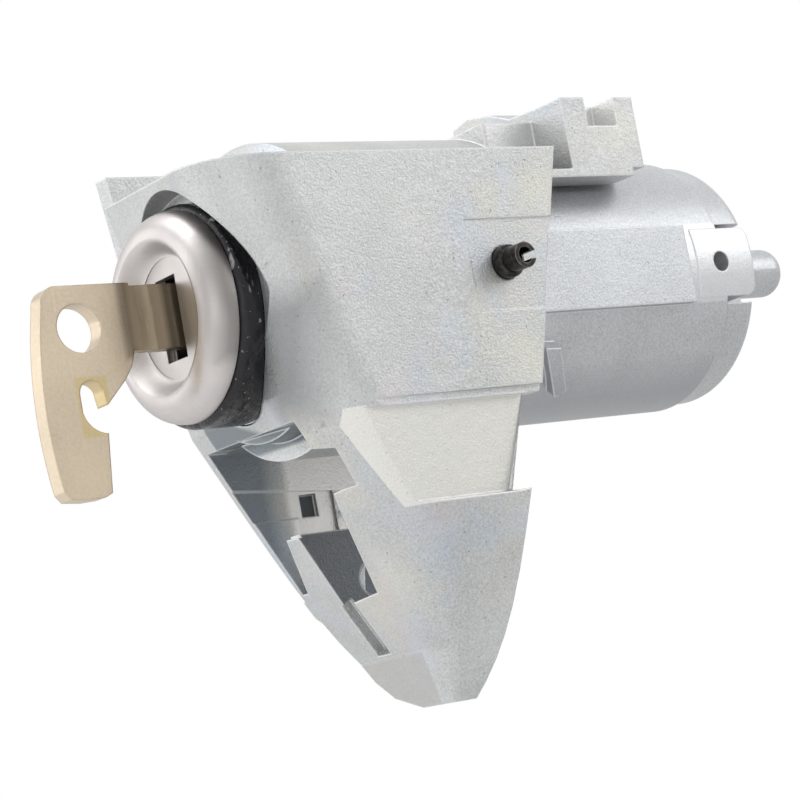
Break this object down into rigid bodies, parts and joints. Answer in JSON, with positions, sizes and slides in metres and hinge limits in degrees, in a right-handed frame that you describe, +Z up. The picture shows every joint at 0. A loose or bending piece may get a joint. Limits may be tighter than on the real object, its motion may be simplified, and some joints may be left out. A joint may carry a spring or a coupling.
{
  "type": "door lock cylinder",
  "caption": "Lock barrel with a dished steel face, key and rear drive peg, pinned into a wedge-shaped die-cast carrier with a hooked arm above the barrel.",
  "frame": {"origin": "centre of the lock's face, on the lock axis, in the plane of the cap's foremost ring", "axes": "+Y along the lock axis into the door, +Z up along the keyway, +X towards the side that holds the spring pin"},
  "size_m": [0.0395, 0.1066, 0.0703],
  "materials": {
    "carrier_zinc": "zinc die casting, clear passivated",
    "barrel_zinc": "zinc die casting, smooth",
    "cap_steel": "polished stainless pressing with fine scratches",
    "seal_rubber": "moulded rubber, wet with grease",
    "face_steel": "polished stainless disc",
    "plug_zinc": "zinc die casting",
    "key_nickel": "nickel-plated brass, worn",
    "pin_steel": "spring steel with a black oxide finish",
    "shutter_steel": "stainless strip",
    "clip_steel": "spring steel",
    "sleeve_zinc": "zinc die casting",
    "spring_steel": "drawn spring steel",
    "wafer_brass": "stamped brass",
    "tail_zinc": "zinc die casting",
    "cover_zinc": "zinc die casting, smooth"
  },
  "bodies": {
    "carrier": {"carrier_housing": "carrier_zinc", "lock_barrel": "barrel_zinc", "face_cap": "cap_steel", "front_seal": "seal_rubber", "roll_pin": "pin_steel", "rear_cover": "cover_zinc", "return_spring": "spring_steel"},
    "rotor": {"rotor_face": "face_steel", "lock_plug": "plug_zinc", "wafer_1": "wafer_brass", "wafer_2": "wafer_brass", "wafer_3": "wafer_brass", "wafer_4": "wafer_brass", "wafer_5": "wafer_brass", "wafer_6": "wafer_brass", "wafer_7": "wafer_brass", "wafer_8": "wafer_brass", "wafer_spring_1": "spring_steel", "wafer_spring_2": "spring_steel", "wafer_spring_3": "spring_steel", "wafer_spring_4": "spring_steel", "wafer_spring_5": "spring_steel", "wafer_spring_6": "spring_steel", "wafer_spring_7": "spring_steel", "wafer_spring_8": "spring_steel", "dust_shutter": "shutter_steel", "retaining_clip": "clip_steel", "clutch_sleeve": "sleeve_zinc", "drive_pin": "spring_steel", "clutch_spring": "spring_steel", "tail_drive": "tail_zinc"},
    "key": {"key": "key_nickel"}
  },
  "joints": [
    {"name": "plug_turn", "type": "hinge", "parent": "carrier", "child": "rotor", "pos_m": [0, 0, 0], "axis": [0, 1, 0], "range_deg": [-70, 70], "stiffness_Nm_per_rad": 0.02},
    {"name": "key_slide", "type": "slide", "parent": "rotor", "child": "key", "axis": [0, -1, 0], "range_m": [0, 0.048]}
  ]
}
